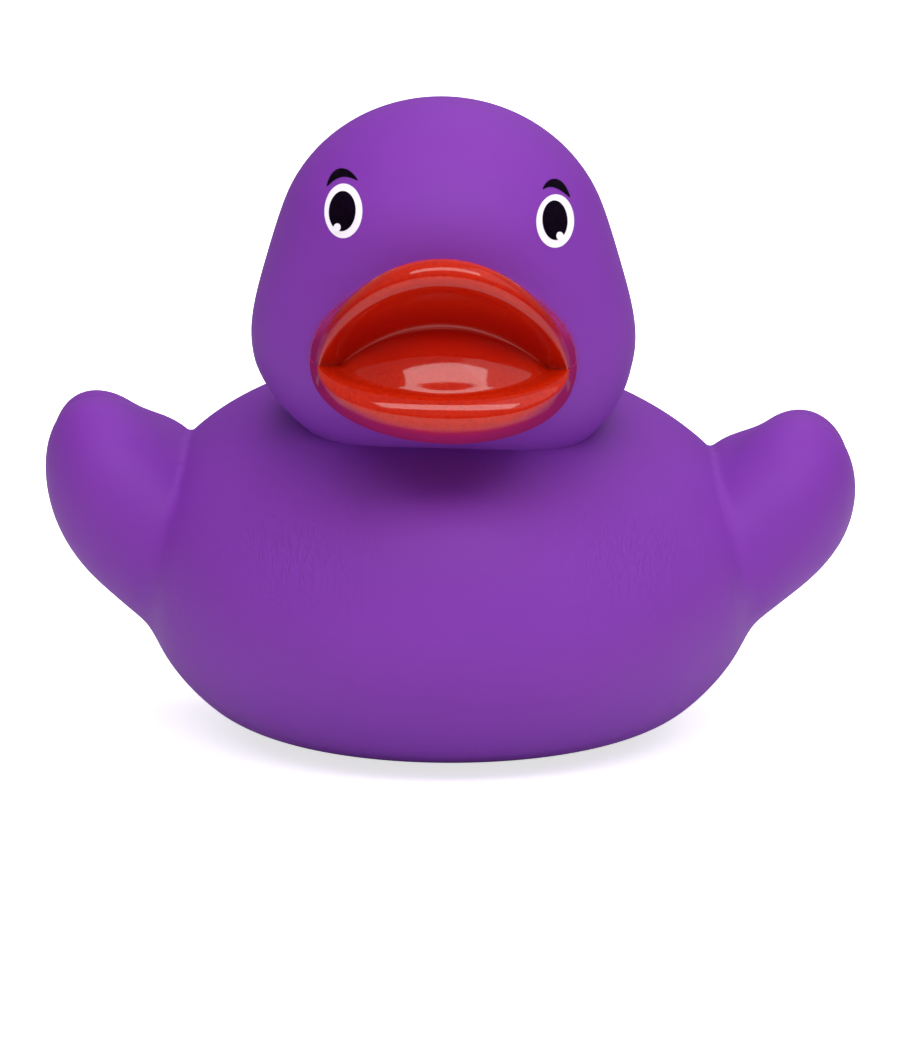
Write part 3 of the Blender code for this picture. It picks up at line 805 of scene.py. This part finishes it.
def addFloor():
    # paper that a camera sees as white round the object's shadow, and that gloss sees much darker
    look = floorLook
    shape = bmesh.new()
    bmesh.ops.create_grid(shape, x_segments=1, y_segments=1, size=look["half"])
    material, tree, shader = startMaterial("whiteStudioPaper")
    rays = addNode(tree, "ShaderNodeLightPath")
    mirrored = addNode(tree, "ShaderNodeMath", {"operation": "MULTIPLY", 1: look["reflected"]},
                       {0: rays.outputs["Is Glossy Ray"]})
    seen = addNode(tree, "ShaderNodeMath", {"operation": "MAXIMUM"},
                   {0: rays.outputs["Is Camera Ray"], 1: mirrored.outputs["Value"]})
    seenAll = addNode(tree, "ShaderNodeMath", {"operation": "MAXIMUM"},
                      {0: seen.outputs["Value"], 1: rays.outputs["Is Transmission Ray"]})
    place = addNode(tree, "ShaderNodeTexCoord")
    away = addNode(tree, "ShaderNodeVectorMath", {"operation": "LENGTH"}, {0: place.outputs["Object"]})
    glow = addNode(tree, "ShaderNodeMapRange",
                   {"From Min": look["near"], "From Max": look["far"],
                    "To Min": look["nearGlow"], "To Max": look["farGlow"]},
                   {"Value": away.outputs["Value"]})
    strength = addNode(tree, "ShaderNodeMath", {"operation": "MULTIPLY"},
                       {0: glow.outputs["Result"], 1: seenAll.outputs["Value"]})
    setUp(tree, shader,
          {"Base Color": linearColour(look["colour"]), "Roughness": 1.0, "Specular IOR Level": 0.0,
           "Emission Color": (1, 1, 1, 1)},
          {"Emission Strength": strength.outputs["Value"]})
    newObject("floor", meshFrom(shape, "floor"), material)


# place and aim in metres, size across and along, watts, and whether gloss mirrors the lamp
lamps = {
    "overheadSoftbox": ((0.03, -0.44, 0.54), (0, 0, 0.03), (0.92, 0.25), 3.15, True),
    "rightSoftbox": ((0.45, -0.15, 0.52), (0, 0, 0.03), (0.60, 0.50), 0.6, True),
    "frontFill": ((0.2, -1.5, 0.28), (0, 0, 0.03), (2.60, 0.50), 3.1, False),
    "topPanel": ((0.0, 0.0, 0.70), (0, 0, 0.03), (0.50, 0.50), 2.0, False),
    "backPanel": ((0.2, 0.5, 0.5), (0, 0, 0.03), (0.40, 0.40), 0.9, False),
}


def addLamps():
    for name, (place, aim, size, watts, mirrored) in lamps.items():
        data = bpy.data.lights.new(name, "AREA")
        data.shape, data.size, data.size_y, data.energy = "RECTANGLE", size[0], size[1], watts
        lamp = bpy.data.objects.new(name, data)
        bpy.context.scene.collection.objects.link(lamp)
        lamp.location = place
        lamp.rotation_euler = (Vector(place) - Vector(aim)).to_track_quat("Z", "Y").to_euler()
        lamp.visible_camera, lamp.visible_glossy = False, mirrored


worldLook = {"horizon": 0.05, "overhead": 0.3, "horizonEnds": 0.05, "overheadStarts": 0.35}


def addWorld():
    # white to the camera, and to everything else a dim room with a lighter ceiling
    look = worldLook
    world = bpy.data.worlds.new("studio")
    bpy.context.scene.world = world
    world.use_nodes = True
    tree = world.node_tree
    place = addNode(tree, "ShaderNodeTexCoord")
    parts = addNode(tree, "ShaderNodeSeparateXYZ", {}, {"Vector": place.outputs["Generated"]})
    level = addNode(tree, "ShaderNodeMapRange",
                    {"From Min": look["horizonEnds"], "From Max": look["overheadStarts"],
                     "To Min": look["horizon"], "To Max": look["overhead"]},
                    {"Value": parts.outputs["Z"]})
    rays = addNode(tree, "ShaderNodeLightPath")
    shown = addNode(tree, "ShaderNodeMath", {"operation": "MAXIMUM"},
                    {0: rays.outputs["Is Camera Ray"], 1: level.outputs["Result"]})
    setUp(tree, tree.nodes["Background"], {"Color": (1, 1, 1, 1)}, {"Strength": shown.outputs["Value"]})


addCamera()
addFloor()
addLamps()
addWorld()
bpy.context.scene.view_settings.view_transform = "Standard"

print("done")
